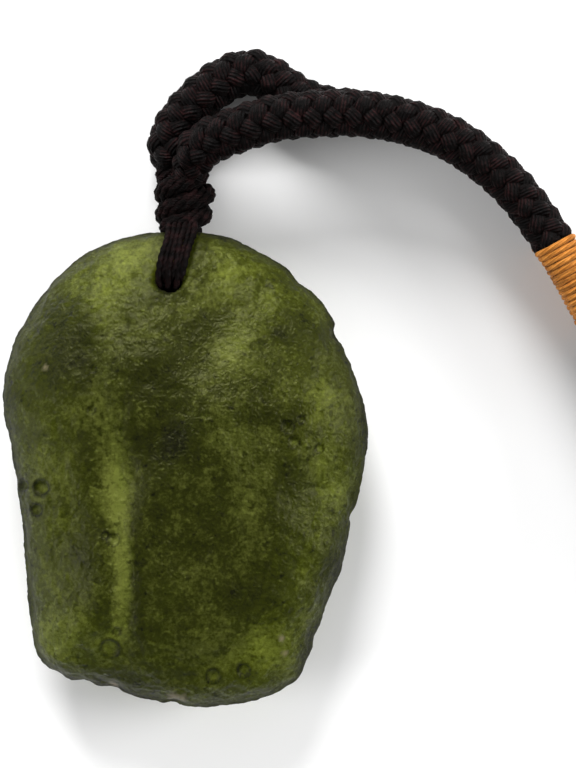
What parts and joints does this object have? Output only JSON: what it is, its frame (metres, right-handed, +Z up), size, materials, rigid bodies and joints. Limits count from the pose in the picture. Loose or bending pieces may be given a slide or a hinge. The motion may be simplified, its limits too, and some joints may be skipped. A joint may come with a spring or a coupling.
{
  "type": "moldavite pendant",
  "caption": "Drilled, softly rounded slab of green natural glass on a looped and knotted braided neck cord, lying on its back.",
  "frame": {"origin": "under the middle of the stone, on the surface that it lies on", "axes": "+Z up out of the stone's face, +Y up the stone towards its hole, +X to the right of the face"},
  "size_m": [0.0867, 0.0515, 0.0091],
  "materials": {
    "moldavite": "satin natural glass",
    "dark_thread": "waxed braid",
    "brown_thread": "waxed thread"
  },
  "bodies": {
    "root": {"stone": "moldavite", "hanging_loop": "dark_thread", "knot": "dark_thread", "cord_left": "dark_thread", "cord_right": "dark_thread", "cord_coil": "dark_thread", "cord_end_left": "dark_thread", "cord_end_right": "dark_thread", "button_knot": "dark_thread", "end_loop": "dark_thread", "whipping_left": "brown_thread", "whipping_right": "brown_thread", "coil_tie": "brown_thread"}
  },
  "joints": []
}
